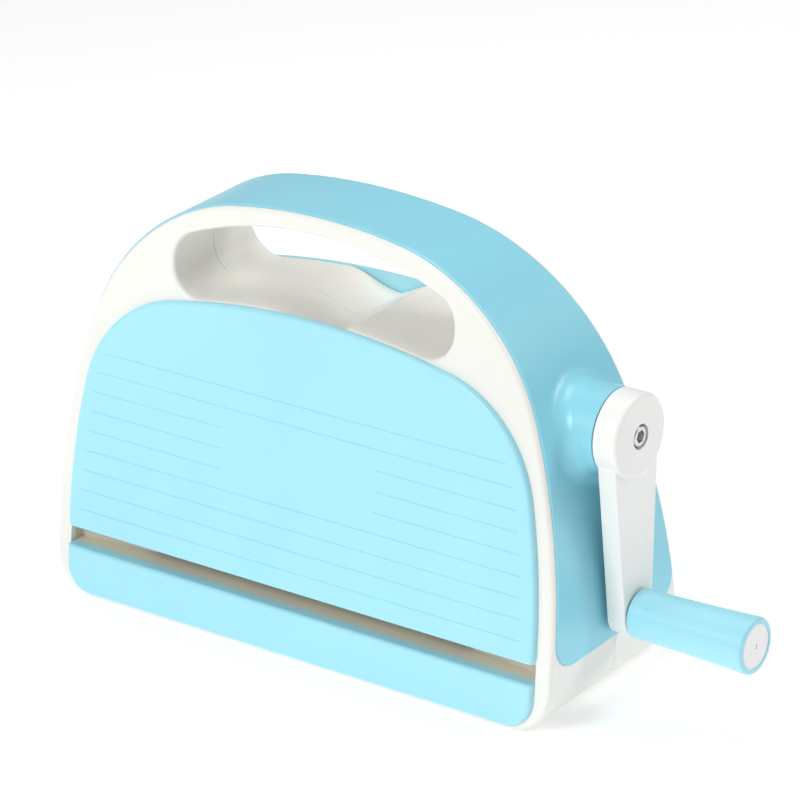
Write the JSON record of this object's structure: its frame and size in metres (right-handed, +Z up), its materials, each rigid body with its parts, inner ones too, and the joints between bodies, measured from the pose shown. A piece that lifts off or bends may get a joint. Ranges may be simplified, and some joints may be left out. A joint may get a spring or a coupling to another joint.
{
  "type": "die cutting machine",
  "caption": "Hand-cranked tabletop die cutting machine with an arched two-tone housing, carrying handle opening, feed slot, geared roller pair and a side crank.",
  "frame": {"origin": "on the resting surface, midway between the two ends and between front and back of the housing", "axes": "+X towards the crank, -Y is the front with the feed slot, +Z up"},
  "size_m": [0.305, 0.097, 0.178],
  "materials": {
    "white_shell": "warm white moulded ABS, satin",
    "inner_white": "warm white moulded ABS, matt",
    "white_arm": "warm white moulded ABS, satin",
    "white_cap": "white moulded ABS, satin",
    "blue_shell": "light cyan blue moulded ABS, satin",
    "blue_panel": "light cyan blue moulded ABS, satin",
    "blue_grip": "light cyan blue moulded ABS, satin",
    "foot_rubber": "black rubber",
    "zinc_sheet": "zinc plated sheet steel",
    "zinc_steel": "zinc plated steel",
    "screw_steel": "bright nickel plated steel",
    "roller_steel": "ground steel",
    "gear_steel": "oiled machined steel",
    "ring_steel": "black phosphated spring steel",
    "bush_bronze": "sintered bronze"
  },
  "bodies": {
    "root": {"front_housing": "white_shell", "rear_housing": "white_shell", "arch_band": "blue_shell", "front_panel": "blue_panel", "rear_panel": "blue_panel", "front_skirt": "blue_panel", "rear_skirt": "blue_panel", "housing_screws": "zinc_steel", "base_plate": "zinc_sheet", "base_pad": "foot_rubber", "base_screws": "zinc_steel", "left_side_plate": "zinc_sheet", "right_side_plate": "zinc_sheet", "tie_rod_1": "zinc_steel", "tie_rod_2": "zinc_steel", "tie_rod_3": "zinc_steel", "tie_rod_4": "zinc_steel", "tie_rod_screws": "zinc_steel", "front_feed_bed": "inner_white", "rear_feed_bed": "inner_white", "front_upper_guide": "inner_white", "rear_upper_guide": "inner_white", "idler_pin": "zinc_steel", "idler_ring": "ring_steel", "upper_roller_bushes": "bush_bronze", "lower_roller_bushes": "bush_bronze", "crank_plate_bush": "bush_bronze", "crank_boss_bush": "bush_bronze"},
    "crank": {"crank_arm": "white_arm", "crank_washer": "screw_steel", "crank_screw": "screw_steel", "crank_shaft": "zinc_steel", "crank_ring": "ring_steel", "crank_pinion": "gear_steel", "crank_pinion_pin": "zinc_steel", "grip_spindle": "zinc_steel", "grip_ring": "ring_steel"},
    "grip": {"grip": "blue_grip", "grip_cap": "white_cap"},
    "idler": {"idler_gear": "gear_steel"},
    "upper_roller_group": {"upper_roller": "roller_steel", "upper_roller_gear": "gear_steel", "upper_gear_pin": "zinc_steel", "upper_roller_ring": "ring_steel"},
    "lower_roller_group": {"lower_roller": "roller_steel", "lower_roller_gear": "gear_steel", "lower_gear_pin": "zinc_steel", "lower_roller_ring": "ring_steel"}
  },
  "joints": [
    {"name": "upper_roller_spin", "type": "hinge", "parent": "root", "child": "upper_roller_group", "pos_m": [0, 0, 0.04816], "axis": [1, 0, 0], "continuous": true},
    {"name": "lower_roller_spin", "type": "hinge", "parent": "root", "child": "lower_roller_group", "pos_m": [0, 0, 0.01516], "axis": [1, 0, 0], "continuous": true},
    {"name": "idler_spin", "type": "hinge", "parent": "root", "child": "idler", "pos_m": [0.087, 0.01219, 0.08731], "axis": [1, 0, 0], "continuous": true},
    {"name": "crank_spin", "type": "hinge", "parent": "root", "child": "crank", "pos_m": [0.11, 0, 0.1114], "axis": [1, 0, 0], "continuous": true},
    {"name": "grip_spin", "type": "hinge", "parent": "crank", "child": "grip", "pos_m": [0.158, 0, 0.0382], "axis": [1, 0, 0], "continuous": true}
  ],
  "couplings": [
    {"joint": "lower_roller_spin", "follows": "upper_roller_spin", "ratio": -2.6667},
    {"joint": "idler_spin", "follows": "upper_roller_spin", "ratio": -1.4118},
    {"joint": "crank_spin", "follows": "upper_roller_spin", "ratio": 2.4}
  ]
}
